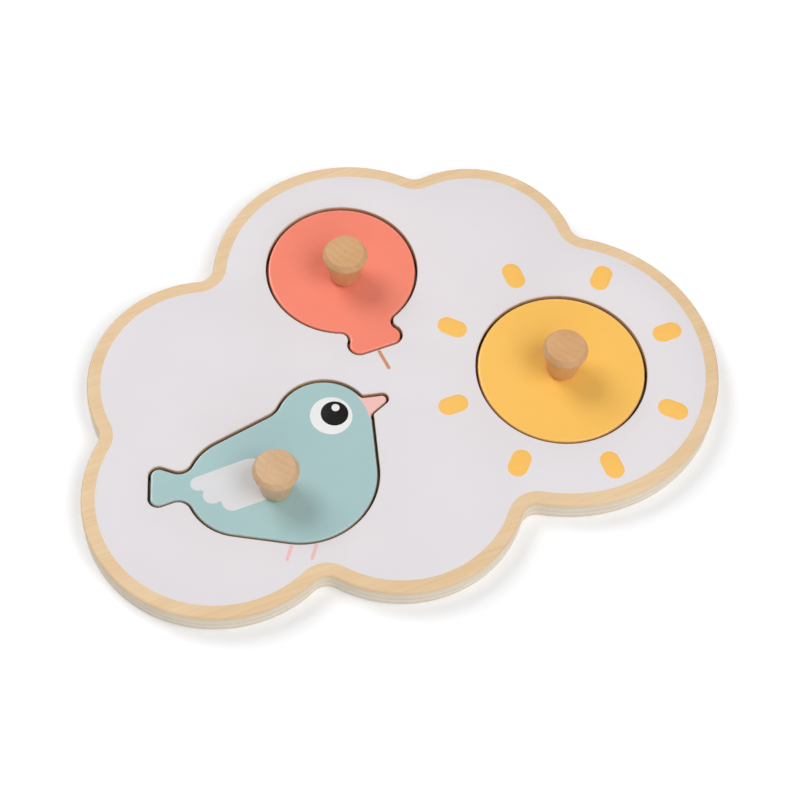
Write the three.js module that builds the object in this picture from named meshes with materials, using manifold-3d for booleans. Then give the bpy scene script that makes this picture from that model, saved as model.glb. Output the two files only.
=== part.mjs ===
// Inlay puzzle: a cloud-shaped tray of two glued boards, with a balloon, a sun and a bird that lift
// out of their pockets by turned wooden knobs. Each knob is held by a wood screw from below.
// Millimetres, +Z up. The tray lies flat on its backing board, with the middle of its underside at
// the origin and its length along X. +Y is the upper side of the picture.

import * as THREE from 'three';
import { mergeVertices } from 'three/addons/utils/BufferGeometryUtils.js';
import Module from 'manifold-3d';

const wasm = await Module();
wasm.setup();

// Tray: two boards of one cloud outline, lobes joined by hollows
const backingThickness = 3;
const frameThickness = 8;
const trayEdgeRadius = 1.2;
const hollowRadius = 7.8;
const rightLobe = { x: 77.6, y: -30, r: 72.1 };
const upperRightLobe = { x: 64.4, y: 41.2, r: 49.3 };
const topLobe = { x: 5.6, y: 48.5, r: 64.3 };
const upperLeftLobe = { x: -75.2, y: 19.9, r: 54 };
const leftLobe = { x: -90.3, y: -35.5, r: 59.4 };
const bottomLobe = { x: -12.9, y: -56.4, r: 56.4 };

// Pockets, and how the pieces lie in them
const pocketClearance = 1.2;
const pocketEdgeRadius = 0.4;
const pieceRecess = 0.6;
const pieceSeatGap = 0.1;
const pieceEdgeRadius = 0.8;

// Sun: a plain disc
const sunPlace = { x: 77, y: -31.4 };
const sunRadius = 38.1;

// Balloon: a round envelope, a neck and a flared knot
const balloonPlace = { x: 3.5, y: 54.5 };
const balloonRadius = 34.2;
const balloonNeckWidth = 20.6;
const balloonNeckFillet = 4.6;
const balloonKnotCorner = 4.5;
const balloonKnotFlare = 36.5;
const balloonKnobOffset = { x: 0, y: -3.4 };

// Bird: a round breast, head and rump, a small beak and a short tail, seen from its right side
const birdPlace = { x: -53, y: -38.5 };
const birdBreastRadius = 34;
const birdHeadRadius = 21.5;
const birdHeadReach = 27;
const birdHeadAngle = 46;
const birdNapeRadius = 12;
const birdNapeAngle = 135;
const birdRumpRadius = 24;
const birdRumpReach = 26;
const birdRumpAngle = 173;
const birdBeakLength = 9.5;
const birdBeakTipRadius = 2;
const birdBeakFillet = 2.5;
const birdBeakRise = 5;
const birdBeakSpread = 16;
const birdTailLength = 16;
const birdTailRootWidth = 13;
const birdTailEndWidth = 18;
const birdTailCorner = 3.5;
const birdTailFillet = 7;
const birdTailAngle = 160;
const birdKnobOffset = { x: -12.5, y: -3.5 };

// Knobs: a foot that widens in a slight cove to a narrow upright band, and a steep bevel to a flat top
const knobHeight = 20;
const knobBaseRadius = 6.9;
const knobFootBevel = 1.3;
const knobCoveDepth = 0.3;
const knobHeadRadius = 10.3;
const knobBandHeight = 0.5;
const knobBevelHeight = 3;
const knobTopRadius = 8.6;
const knobCoveSteps = 6;
const knobSides = 36;

// Wood screws: countersunk heads with a cross recess, sunk below the piece's underside
const screwDiameter = 3.5;
const screwCoreDiameter = 2.4;
const screwHeadDiameter = 7;
const screwHeadRim = 0.4;
const screwLength = 16;
const screwTipLength = 3;
const screwPitch = 1.6;
const screwSink = 0.4;
const screwSides = 12;
const screwRowsPerPitch = 4;
const recessSpan = 3.4;
const recessSlot = 0.9;
const recessDepth = 1.3;
const screwClearance = 0.3;
const boreTipRoom = 0.8;

// How finely curves are cut into flats: the depth between a flat and the true curve
const facetDepth = 0.06;
const roundingSteps = 3;

const frameTop = backingThickness + frameThickness;
const pieceBottom = backingThickness + pieceSeatGap;
const pieceTop = frameTop - pieceRecess;

// Outlines

const polar = (centre, distance, degrees) => {
  const angle = THREE.MathUtils.degToRad(degrees);
  return { x: centre.x + distance * Math.cos(angle), y: centre.y + distance * Math.sin(angle) };
};

const arcSteps = (radius, sweep) => {
  const largestStep = 2 * Math.acos(1 - Math.min(1, facetDepth / radius));
  return Math.max(1, Math.ceil(Math.abs(sweep) / largestStep));
};

// A round that touches rounds a and b from outside, to the right of the way from a to b.
function hollowBetween(a, b, radius) {
  const span = Math.hypot(b.x - a.x, b.y - a.y);
  const along = { x: (b.x - a.x) / span, y: (b.y - a.y) / span };
  const reachA = a.r + radius;
  const reachB = b.r + radius;
  const forward = (span * span + reachA * reachA - reachB * reachB) / (2 * span);
  const aside = Math.sqrt(reachA * reachA - forward * forward);
  return {
    x: a.x + along.x * forward + along.y * aside,
    y: a.y + along.y * forward - along.x * aside,
    r: -radius,
  };
}

// A closed outline like a belt round a row of rounds, anticlockwise. A round with a negative radius
// bends inwards. The result gives the outline's points for an offset, where positive is outwards.
function beltOutline(rounds) {
  const next = (i) => rounds[(i + 1) % rounds.length];
  const headings = rounds.map((a, i) => {
    const b = next(i);
    const span = Math.hypot(b.x - a.x, b.y - a.y);
    const lean = THREE.MathUtils.clamp((a.r - b.r) / span, -1, 1);
    return Math.atan2(b.y - a.y, b.x - a.x) + Math.asin(lean);
  });
  const arcs = rounds.map((round, i) => {
    const start = headings[(i + rounds.length - 1) % rounds.length];
    let sweep = THREE.MathUtils.euclideanModulo(headings[i] - start, 2 * Math.PI);
    if (round.r < 0) sweep -= 2 * Math.PI;
    const b = next(i);
    const straight = (b.x - round.x) ** 2 + (b.y - round.y) ** 2 - (round.r - b.r) ** 2;
    const meetsNext = straight < facetDepth * facetDepth;
    return { round, start, sweep, steps: arcSteps(Math.abs(round.r), sweep), meetsNext };
  });
  return (offset) => arcs.flatMap(({ round, start, sweep, steps, meetsNext }) => {
    const count = meetsNext ? steps : steps + 1;
    return Array.from({ length: count }, (_, k) => {
      const heading = start + sweep * k / steps;
      const reach = round.r + offset;
      return new THREE.Vector2(round.x + reach * Math.sin(heading), round.y - reach * Math.cos(heading));
    });
  });
}

function circleOutline(centre, radius) {
  const steps = arcSteps(radius, 2 * Math.PI);
  return (offset) => Array.from({ length: steps }, (_, k) => {
    const { x, y } = polar(centre, radius + offset, 360 * k / steps);
    return new THREE.Vector2(x, y);
  });
}

const grown = (outline, clearance) => (offset) => outline(clearance + offset);

const lobes = [rightLobe, upperRightLobe, topLobe, upperLeftLobe, leftLobe, bottomLobe];

const trayOutline = beltOutline(lobes.flatMap((lobe, i) => {
  return [lobe, hollowBetween(lobe, lobes[(i + 1) % lobes.length], hollowRadius)];
}));

const sunOutline = circleOutline(sunPlace, sunRadius);

function makeBalloonOutline() {
  const neckAside = balloonNeckWidth / 2 + balloonNeckFillet;
  const neckReach = balloonRadius + balloonNeckFillet;
  const neckDrop = Math.sqrt(neckReach * neckReach - neckAside * neckAside);
  const knotStep = polar({ x: 0, y: 0 }, balloonNeckFillet + balloonKnotCorner, -balloonKnotFlare);
  const knotAside = neckAside - knotStep.x;
  const place = (x, y, r) => ({ x: balloonPlace.x + x, y: balloonPlace.y + y, r });
  return beltOutline([
    place(0, 0, balloonRadius),
    place(-neckAside, -neckDrop, -balloonNeckFillet),
    place(-knotAside, knotStep.y - neckDrop, balloonKnotCorner),
    place(knotAside, knotStep.y - neckDrop, balloonKnotCorner),
    place(neckAside, -neckDrop, -balloonNeckFillet),
  ]);
}

function makeBirdOutline() {
  const breast = { ...birdPlace, r: birdBreastRadius };
  const head = { ...polar(breast, birdHeadReach, birdHeadAngle), r: birdHeadRadius };
  const rump = { ...polar(breast, birdRumpReach, birdRumpAngle), r: birdRumpRadius };

  const nape = { ...polar(head, birdHeadRadius + birdNapeRadius, birdNapeAngle), r: -birdNapeRadius };

  const throatLean = Math.asin((birdBreastRadius - birdHeadRadius) / birdHeadReach);
  const throatAngle = birdHeadAngle + THREE.MathUtils.radToDeg(throatLean) - 90;
  const beakAngle = throatAngle + birdBeakRise + birdBeakSpread;
  const beakFillet = (degrees) => {
    return { ...polar(head, birdHeadRadius + birdBeakFillet, beakAngle + degrees), r: -birdBeakFillet };
  };
  const beakReach = birdHeadRadius + birdBeakLength - birdBeakTipRadius;
  const beakTip = { ...polar(head, beakReach, beakAngle), r: birdBeakTipRadius };

  const tailFilletReach = birdRumpRadius + birdTailFillet;
  const tailFilletAside = birdTailRootWidth / 2 + birdTailFillet;
  const tailSpread = THREE.MathUtils.radToDeg(Math.asin(tailFilletAside / tailFilletReach));
  const tailFillet = (degrees) => {
    return { ...polar(rump, tailFilletReach, birdTailAngle + degrees), r: -birdTailFillet };
  };
  const tailEnd = polar(rump, birdRumpRadius + birdTailLength - birdTailCorner, birdTailAngle);
  const tailAside = birdTailEndWidth / 2 - birdTailCorner;
  const tailCorner = (side) => {
    return { ...polar(tailEnd, tailAside, birdTailAngle + 90 * side), r: birdTailCorner };
  };

  return beltOutline([
    beakTip,
    beakFillet(birdBeakSpread),
    head,
    nape,
    rump,
    tailFillet(-tailSpread),
    tailCorner(-1),
    tailCorner(1),
    tailFillet(tailSpread),
    rump,
    breast,
    head,
    beakFillet(-birdBeakSpread),
  ]);
}

const balloonOutline = makeBalloonOutline();
const birdOutline = makeBirdOutline();

// Solids

function indexedGeometry(positions, index) {
  const geometry = new THREE.BufferGeometry();
  geometry.setAttribute('position', new THREE.Float32BufferAttribute(positions, 3));
  geometry.setIndex(index);
  return geometry;
}

// A flat board of an outline with holes. Its upper edges are rounded and its underside is sharp.
function boardGeometry({ outline, holes = [], bottom, top, edgeRadius = 0, holeEdgeRadius = 0 }) {
  const positions = [];
  const index = [];

  const addLoop = (points, z) => {
    const first = positions.length / 3;
    points.forEach((point) => positions.push(point.x, point.y, z));
    return { first, points };
  };

  // side is 1 for the outer wall and -1 for the wall of a hole
  const addWall = (shape, radius, side) => {
    const loops = [addLoop(shape(0), bottom)];
    const steps = radius > 0 ? roundingSteps : 0;
    for (let k = 0; k <= steps; k += 1) {
      const turn = steps > 0 ? k / steps * Math.PI / 2 : 0;
      const inset = radius * (1 - Math.cos(turn));
      loops.push(addLoop(shape(-side * inset), top - radius * (1 - Math.sin(turn))));
    }
    for (let k = 1; k < loops.length; k += 1) {
      const lower = loops[k - 1].first;
      const upper = loops[k].first;
      const count = loops[k].points.length;
      for (let i = 0; i < count; i += 1) {
        const j = (i + 1) % count;
        const [a, b] = side > 0 ? [i, j] : [j, i];
        index.push(lower + a, lower + b, upper + b, lower + a, upper + b, upper + a);
      }
    }
    return { low: loops[0], high: loops[loops.length - 1] };
  };

  const addCap = (loops, facesUp) => {
    const [rim, ...inner] = loops;
    const slots = loops.flatMap(({ first, points }) => points.map((_, i) => first + i));
    const flat = loops.flatMap(({ points }) => points);
    const triangles = THREE.ShapeUtils.triangulateShape(rim.points, inner.map((loop) => loop.points));
    triangles.forEach(([a, b, c]) => {
      const isUp = THREE.ShapeUtils.area([flat[a], flat[b], flat[c]]) > 0;
      const corners = isUp === facesUp ? [a, b, c] : [a, c, b];
      index.push(...corners.map((corner) => slots[corner]));
    });
  };

  const walls = [addWall(outline, edgeRadius, 1)];
  holes.forEach((hole) => walls.push(addWall(hole, holeEdgeRadius, -1)));
  addCap(walls.map((wall) => wall.high), true);
  addCap(walls.map((wall) => wall.low), false);
  return indexedGeometry(positions, index);
}

// A body turned on a lathe, upright along Z, from [radius, height] pairs.
function turnedGeometry(profile, sides) {
  const points = profile.map(([radius, height]) => new THREE.Vector2(radius, height));
  return new THREE.LatheGeometry(points, sides).rotateX(Math.PI / 2);
}

function solidOf(geometry) {
  const bare = geometry.clone();
  bare.deleteAttribute('normal');
  bare.deleteAttribute('uv');
  const merged = mergeVertices(bare);
  const corners = merged.index.array;
  const triangles = [];
  for (let i = 0; i < corners.length; i += 3) {
    const [a, b, c] = corners.slice(i, i + 3);
    if (a !== b && b !== c && c !== a) triangles.push(a, b, c);
  }
  return new wasm.Manifold(new wasm.Mesh({
    numProp: 3,
    vertProperties: new Float32Array(merged.attributes.position.array),
    triVerts: new Uint32Array(triangles),
  }));
}

function geometryOf(solid) {
  const mesh = solid.getMesh();
  return indexedGeometry(Array.from(mesh.vertProperties), Array.from(mesh.triVerts));
}

const screwHeadRadius = screwHeadDiameter / 2;
const screwCoreRadius = screwCoreDiameter / 2;
const screwBoreRadius = screwDiameter / 2 + screwClearance;

// The way for a screw through a piece, from the piece's underside at height 0: a countersink, then a bore.
function screwWay(thickness) {
  const sinkRadius = screwHeadRadius + screwClearance;
  const sinkStraight = screwSink + screwHeadRim + screwClearance;
  const beyond = screwClearance;
  return turnedGeometry([
    [0, -beyond],
    [sinkRadius, -beyond],
    [sinkRadius, sinkStraight],
    [screwBoreRadius, sinkStraight + sinkRadius - screwBoreRadius],
    [screwBoreRadius, thickness + beyond],
    [0, thickness + beyond],
  ], knobSides);
}

function pieceGeometry(outline, knobPlace) {
  const board = boardGeometry({
    outline, bottom: pieceBottom, top: pieceTop, edgeRadius: pieceEdgeRadius,
  });
  const way = screwWay(pieceTop - pieceBottom).translate(knobPlace.x, knobPlace.y, pieceBottom);
  return geometryOf(solidOf(board).subtract(solidOf(way)));
}

function knobGeometry() {
  const boreDepth = screwSink + screwLength - (pieceTop - pieceBottom) + boreTipRoom;
  const bevelFoot = knobHeight - knobBevelHeight;
  const bandFoot = bevelFoot - knobBandHeight;
  const cove = Array.from({ length: knobCoveSteps + 1 }, (_, k) => {
    const share = k / knobCoveSteps;
    const straight = THREE.MathUtils.lerp(knobBaseRadius, knobHeadRadius, share);
    const radius = straight - knobCoveDepth * Math.sin(Math.PI * share);
    return [radius, THREE.MathUtils.lerp(knobFootBevel, bandFoot, share)];
  });
  return turnedGeometry([
    [0, boreDepth],
    [screwBoreRadius, boreDepth],
    [screwBoreRadius, 0],
    [knobBaseRadius - knobFootBevel, 0],
    ...cove,
    [knobHeadRadius, bevelFoot],
    [knobTopRadius, knobHeight],
    [0, knobHeight],
  ], knobSides);
}

// A screw standing on its head. The thread is a ridge that winds once round in each pitch.
function screwGeometry() {
  const neck = screwHeadRim + screwHeadRadius - screwCoreRadius;
  const threadTop = screwLength - screwTipLength;
  const ridge = (screwDiameter - screwCoreDiameter) / 2;
  const rows = [
    { z: 0, radius: screwHeadRadius, ridge: 0 },
    { z: screwHeadRim, radius: screwHeadRadius, ridge: 0 },
    { z: neck, radius: screwCoreRadius, ridge: 0 },
  ];
  const threadRows = Math.ceil((threadTop - neck) / screwPitch * screwRowsPerPitch);
  for (let k = 1; k <= threadRows; k += 1) {
    rows.push({ z: neck + (threadTop - neck) * k / threadRows, radius: screwCoreRadius, ridge });
  }
  const tipRows = Math.ceil(screwTipLength / screwPitch * screwRowsPerPitch);
  for (let k = 1; k < tipRows; k += 1) {
    const left = 1 - k / tipRows;
    rows.push({
      z: screwLength - screwTipLength * left,
      radius: screwCoreRadius * left,
      ridge: ridge * left,
    });
  }

  const positions = [0, 0, 0];
  const index = [];
  const corner = (row, side) => 1 + row * screwSides + side % screwSides;
  rows.forEach((row) => {
    for (let side = 0; side < screwSides; side += 1) {
      const turn = side / screwSides;
      const crest = (1 + Math.cos(2 * Math.PI * (row.z / screwPitch - turn))) / 2;
      const radius = row.radius + row.ridge * crest;
      const angle = 2 * Math.PI * turn;
      positions.push(radius * Math.cos(angle), radius * Math.sin(angle), row.z);
    }
  });
  positions.push(0, 0, screwLength);
  const tip = positions.length / 3 - 1;
  for (let side = 0; side < screwSides; side += 1) {
    index.push(0, corner(0, side + 1), corner(0, side));
    for (let row = 1; row < rows.length; row += 1) {
      const [a, b] = [corner(row - 1, side), corner(row - 1, side + 1)];
      const [c, d] = [corner(row, side + 1), corner(row, side)];
      index.push(a, b, c, a, c, d);
    }
    index.push(corner(rows.length - 1, side), corner(rows.length - 1, side + 1), tip);
  }

  const slot = new THREE.BoxGeometry(recessSpan, recessSlot, 2 * recessDepth);
  const crossSlot = slot.clone().rotateZ(Math.PI / 2);
  const recess = solidOf(slot).add(solidOf(crossSlot));
  return geometryOf(solidOf(indexedGeometry(positions, index)).subtract(recess));
}

// Assembly

const finish = (colour, roughness, metalness = 0) => {
  return new THREE.MeshStandardMaterial({ color: colour, roughness, metalness });
};

function part(name, geometry, material) {
  const mesh = new THREE.Mesh(geometry, material);
  mesh.name = name;
  return mesh;
}

const plywood = finish(0xe6cb9f, 0.6);
const printedWhite = finish(0xe5e0e4, 0.5);
const beech = finish(0xd6ac7a, 0.55);
const steel = finish(0xb9bcc0, 0.35, 1);

const shifted = (place, offset) => ({ x: place.x + offset.x, y: place.y + offset.y });

const pictures = [
  {
    name: 'balloon',
    outline: balloonOutline,
    knobPlace: shifted(balloonPlace, balloonKnobOffset),
    paint: finish(0xf98973, 0.5),
  },
  { name: 'sun', outline: sunOutline, knobPlace: sunPlace, paint: finish(0xfbc360, 0.5) },
  {
    name: 'bird',
    outline: birdOutline,
    knobPlace: shifted(birdPlace, birdKnobOffset),
    paint: finish(0xa7c7c8, 0.5),
  },
];

const pocketOutlines = pictures.map(({ outline }) => grown(outline, pocketClearance));

const puzzle = new THREE.Group();

puzzle.add(part('backing_board', boardGeometry({
  outline: trayOutline, bottom: 0, top: backingThickness,
}), plywood));

puzzle.add(part('frame_board', boardGeometry({
  outline: trayOutline,
  holes: pocketOutlines,
  bottom: backingThickness,
  top: frameTop,
  edgeRadius: trayEdgeRadius,
  holeEdgeRadius: pocketEdgeRadius,
}), printedWhite));

pictures.forEach(({ name, outline, knobPlace, paint }) => {
  puzzle.add(part(`${name}_piece`, pieceGeometry(outline, knobPlace), paint));

  const knob = part(`${name}_knob`, knobGeometry(), beech);
  knob.position.set(knobPlace.x, knobPlace.y, pieceTop);
  puzzle.add(knob);

  const screw = part(`${name}_screw`, screwGeometry(), steel);
  screw.position.set(knobPlace.x, knobPlace.y, pieceBottom + screwSink);
  puzzle.add(screw);
});

// The middle of the outline's box lies on the Z axis.
const middle = (low, high) => (Math.min(...low) + Math.max(...high)) / 2;
puzzle.position.set(
  -middle(lobes.map(({ x, r }) => x - r), lobes.map(({ x, r }) => x + r)),
  -middle(lobes.map(({ y, r }) => y - r), lobes.map(({ y, r }) => y + r)),
  0,
);

export default puzzle;
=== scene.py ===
"""Looks of a wooden inlay puzzle: a cloud-shaped tray, three painted pieces and their turned knobs.

Sizes and outlines are written in millimetres, in the part's own frame, and become metres where a
mesh is made. Heights and the knobs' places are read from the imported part.
"""

import math
from collections import namedtuple

import bmesh
import bpy
import numpy as np
from mathutils import Matrix, Vector
from mathutils.geometry import delaunay_2d_cdt


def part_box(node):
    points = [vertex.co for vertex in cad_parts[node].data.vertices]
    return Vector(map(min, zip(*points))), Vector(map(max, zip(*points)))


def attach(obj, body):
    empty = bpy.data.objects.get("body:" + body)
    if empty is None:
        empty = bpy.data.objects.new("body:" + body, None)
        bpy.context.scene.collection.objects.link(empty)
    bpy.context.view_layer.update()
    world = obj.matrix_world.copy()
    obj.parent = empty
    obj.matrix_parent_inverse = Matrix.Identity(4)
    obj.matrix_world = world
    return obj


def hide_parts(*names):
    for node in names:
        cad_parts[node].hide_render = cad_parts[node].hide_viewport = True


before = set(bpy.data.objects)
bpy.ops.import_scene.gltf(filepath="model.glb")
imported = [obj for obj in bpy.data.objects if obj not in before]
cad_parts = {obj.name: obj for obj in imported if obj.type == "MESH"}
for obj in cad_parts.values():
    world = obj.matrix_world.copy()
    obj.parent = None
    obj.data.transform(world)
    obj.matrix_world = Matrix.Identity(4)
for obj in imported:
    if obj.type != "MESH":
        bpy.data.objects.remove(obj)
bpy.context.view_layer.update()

MM = 0.001

Round = namedtuple("Round", "x y r")


def heights(node):
    """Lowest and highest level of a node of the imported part."""
    low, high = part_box(node)
    return low.z / MM, high.z / MM


def upright_axis(node):
    """Where the upright axis of a turned node stands."""
    low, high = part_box(node)
    return (low.x + high.x) / 2 / MM, (low.y + high.y) / 2 / MM


# Tray
BACKING_BOTTOM, BACKING_TOP = heights("backing_board")
FRAME_BOTTOM, FRAME_TOP = heights("frame_board")
LOBES = [
    Round(77.6, -30, 72.1),
    Round(64.4, 41.2, 49.3),
    Round(5.6, 48.5, 64.3),
    Round(-75.2, 19.9, 54),
    Round(-90.3, -35.5, 59.4),
    Round(-12.9, -56.4, 56.4),
]
HOLLOW_RADIUS = 7.8
TRAY_EDGE_RADIUS = 1.2
JOINT_BEVEL = 0.15
UNDERSIDE_BEVEL = 0.4
FRAME_PLIES = 5
BACKING_PLIES = 3

# Pockets and pieces
PIECE_BOTTOM, PIECE_TOP = heights("sun_piece")
POCKET_CLEARANCE = 1.2
POCKET_EDGE_RADIUS = 0.4
PIECE_EDGE_RADIUS = 0.8
PIECE_UNDERSIDE_BEVEL = 0.3
PIECE_PLIES = 5
SCREW_BORE_RADIUS = 2.05
SCREW_SINK_RADIUS = 3.8
SCREW_SINK_DEPTH = 1.1

# Sun
SUN_RADIUS = 38.1
SUN_PLACE = upright_axis("sun_knob")

# Balloon
BALLOON = Round(3.5, 54.5, 34.2)
BALLOON_NECK_WIDTH = 20.6
BALLOON_NECK_FILLET = 4.6
BALLOON_KNOT_CORNER = 4.5
BALLOON_KNOT_FLARE = 36.5

# Bird
BREAST = Round(-53, -38.5, 34)
HEAD_RADIUS = 21.5
HEAD_REACH = 27
HEAD_ANGLE = 46
NAPE_RADIUS = 12
NAPE_ANGLE = 135
RUMP_RADIUS = 24
RUMP_REACH = 26
RUMP_ANGLE = 173
BEAK_LENGTH = 9.5
BEAK_TIP_RADIUS = 2
BEAK_FILLET = 2.5
BEAK_RISE = 5
BEAK_SPREAD = 16
TAIL_LENGTH = 16
TAIL_ROOT_WIDTH = 13
TAIL_END_WIDTH = 18
TAIL_CORNER = 3.5
TAIL_FILLET = 7
TAIL_ANGLE = 160

# Print on the tray
RIM_WIDTH = 6.2
PRINT_EDGE = 0.05
RAY_COUNT = 8
RAY_RING_RADIUS = 53.7
RAY_LENGTH = 13.9
RAY_WIDTH = 8.9
STRING_PLACE = 2.8
STRING_SLANT = 0.8
STRING_LENGTH = 11
STRING_WIDTH = 1.6
LEG_ANGLES = [243, 260]
LEG_SLANT = 233
LEG_LENGTH = 8
LEG_WIDTH = 1.5

# Print on the bird
WING_SHOULDER = Round(-74, -34.5, 11)
WING_FEATHERS = [Round(-96.5, -27.5, 3.4), Round(-92.5, -35, 4.2), Round(-85.5, -41, 4.6)]
WING_HOLLOW = 1
EYE_OFFSET = (4.5, 2.5)
EYE_WHITE_RADIUS = 9.5
EYE_PUPIL_RADIUS = 6.2
EYE_PUPIL_OFFSET = (1.8, 0.5)
EYE_GLINT_RADIUS = 1.8
EYE_GLINT_REACH = 3
EYE_GLINT_ANGLE = 60

# Films of print: how deep each one sinks into what it lies on, and how far it stands proud
FILM_SINK = 0.02
FILM_HEIGHT = 0.05

# Knobs
KNOB_BASE_RADIUS = 6.9
KNOB_FOOT_BEVEL = 1.3
KNOB_COVE_DEPTH = 0.3
KNOB_HEAD_RADIUS = 10.3
KNOB_BAND_HEIGHT = 0.5
KNOB_BEVEL_HEIGHT = 3
KNOB_TOP_RADIUS = 8.6
KNOB_ARRIS_RADIUS = 0.35
KNOB_BORE_RADIUS = 2.05
KNOB_BORE_ROOM = 0.8
KNOB_MARK_RADIUS = 0.7
KNOB_MARK_DEPTH = 0.8
KNOB_SIDES = 72
KNOB_RINGS = 81

# How finely curves are cut: depth between a flat and the true curve, and steps over a rounded edge.
# The tray's finer curve keeps a little inside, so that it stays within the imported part's flats.
FLAT_DEPTH = 0.008
TRAY_INSET = 0.04
EDGE_STEPS = 5
EDGE_SUPPORT = 0.3
JOINED_WITHIN = 0.06
SHARP_ANGLE = 35


# Outlines

def polar(centre, distance, degrees):
    """The place at that distance from a centre, so many degrees anticlockwise of +X."""
    angle = math.radians(degrees)
    return centre[0] + distance * math.cos(angle), centre[1] + distance * math.sin(angle)


def arc_steps(radius, sweep):
    """How many flats an arc needs."""
    largest = 2 * math.acos(1 - min(1, FLAT_DEPTH / abs(radius)))
    return max(1, math.ceil(abs(sweep) / largest))


def hollow_between(a, b, radius):
    """A round that touches rounds a and b from outside, to the right of the way from a to b."""
    span = math.hypot(b.x - a.x, b.y - a.y)
    along = ((b.x - a.x) / span, (b.y - a.y) / span)
    reach_a, reach_b = a.r + radius, b.r + radius
    forward = (span ** 2 + reach_a ** 2 - reach_b ** 2) / (2 * span)
    aside = math.sqrt(reach_a ** 2 - forward ** 2)
    return Round(
        a.x + along[0] * forward + along[1] * aside,
        a.y + along[1] * forward - along[0] * aside,
        -radius,
    )


def belt(rounds):
    """A closed outline like a belt round a row of rounds, anticlockwise.

    A negative radius bends inwards. The result gives the outline's points for an offset, where
    positive is outwards."""
    following = rounds[1:] + rounds[:1]
    headings = []
    for a, b in zip(rounds, following):
        lean = (a.r - b.r) / math.hypot(b.x - a.x, b.y - a.y)
        headings.append(math.atan2(b.y - a.y, b.x - a.x) + math.asin(max(-1, min(1, lean))))
    arcs = []
    for i, (a, b) in enumerate(zip(rounds, following)):
        sweep = (headings[i] - headings[i - 1]) % (2 * math.pi)
        if a.r < 0:
            sweep -= 2 * math.pi
        straight = (b.x - a.x) ** 2 + (b.y - a.y) ** 2 - (a.r - b.r) ** 2
        steps = arc_steps(a.r, sweep)
        points = steps if straight < JOINED_WITHIN ** 2 else steps + 1
        arcs.append((a, [headings[i - 1] + sweep * k / steps for k in range(points)]))

    def outline(offset=0):
        return [
            (a.x + (a.r + offset) * math.sin(heading), a.y - (a.r + offset) * math.cos(heading))
            for a, arc in arcs
            for heading in arc
        ]

    return outline


def circle(centre, radius):
    """A circle's points for an offset, as those of a belt."""
    steps = arc_steps(radius, 2 * math.pi)
    return lambda offset=0: [polar(centre, radius + offset, 360 * k / steps) for k in range(steps)]


def stroke(start, end, width):
    """A straight stroke with round ends."""
    return belt([Round(*start, width / 2), Round(*end, width / 2)])


def grown(outline, clearance):
    """The same outline, moved outwards by a clearance."""
    return lambda offset=0: outline(clearance + offset)


def chained(rounds, radius, closed):
    """The rounds with a hollow between each two neighbours."""
    following = rounds[1:] + rounds[:1] if closed else rounds[1:]
    chain = []
    for a, b in zip(rounds, following):
        chain += [a, hollow_between(a, b, radius)]
    return chain if closed else [*chain, rounds[-1]]


def balloon_outline():
    neck_aside = BALLOON_NECK_WIDTH / 2 + BALLOON_NECK_FILLET
    neck_drop = math.sqrt((BALLOON.r + BALLOON_NECK_FILLET) ** 2 - neck_aside ** 2)
    step = polar((0, 0), BALLOON_NECK_FILLET + BALLOON_KNOT_CORNER, -BALLOON_KNOT_FLARE)
    knot_aside = neck_aside - step[0]
    knot_level = BALLOON.y - neck_drop + step[1]
    return belt([
        BALLOON,
        Round(BALLOON.x - neck_aside, BALLOON.y - neck_drop, -BALLOON_NECK_FILLET),
        Round(BALLOON.x - knot_aside, knot_level, BALLOON_KNOT_CORNER),
        Round(BALLOON.x + knot_aside, knot_level, BALLOON_KNOT_CORNER),
        Round(BALLOON.x + neck_aside, BALLOON.y - neck_drop, -BALLOON_NECK_FILLET),
    ])


HEAD = Round(*polar(BREAST, HEAD_REACH, HEAD_ANGLE), HEAD_RADIUS)
RUMP = Round(*polar(BREAST, RUMP_REACH, RUMP_ANGLE), RUMP_RADIUS)
THROAT_LEAN = math.degrees(math.asin((BREAST.r - HEAD_RADIUS) / HEAD_REACH))
BEAK_ANGLE = HEAD_ANGLE + THROAT_LEAN - 90 + BEAK_RISE + BEAK_SPREAD


def bird_outline():
    def beak_fillet(side):
        place = polar(HEAD, HEAD_RADIUS + BEAK_FILLET, BEAK_ANGLE + side * BEAK_SPREAD)
        return Round(*place, -BEAK_FILLET)

    beak_reach = HEAD_RADIUS + BEAK_LENGTH - BEAK_TIP_RADIUS
    beak_tip = Round(*polar(HEAD, beak_reach, BEAK_ANGLE), BEAK_TIP_RADIUS)
    nape = Round(*polar(HEAD, HEAD_RADIUS + NAPE_RADIUS, NAPE_ANGLE), -NAPE_RADIUS)

    fillet_reach = RUMP_RADIUS + TAIL_FILLET
    spread = math.degrees(math.asin((TAIL_ROOT_WIDTH / 2 + TAIL_FILLET) / fillet_reach))
    tail_end = polar(RUMP, RUMP_RADIUS + TAIL_LENGTH - TAIL_CORNER, TAIL_ANGLE)

    def tail_fillet(side):
        return Round(*polar(RUMP, fillet_reach, TAIL_ANGLE + side * spread), -TAIL_FILLET)

    def tail_corner(side):
        aside = TAIL_END_WIDTH / 2 - TAIL_CORNER
        return Round(*polar(tail_end, aside, TAIL_ANGLE + 90 * side), TAIL_CORNER)

    return belt([
        beak_tip, beak_fillet(1), HEAD, nape,
        RUMP, tail_fillet(-1), tail_corner(-1), tail_corner(1), tail_fillet(1), RUMP,
        BREAST, HEAD, beak_fillet(-1),
    ])


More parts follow.
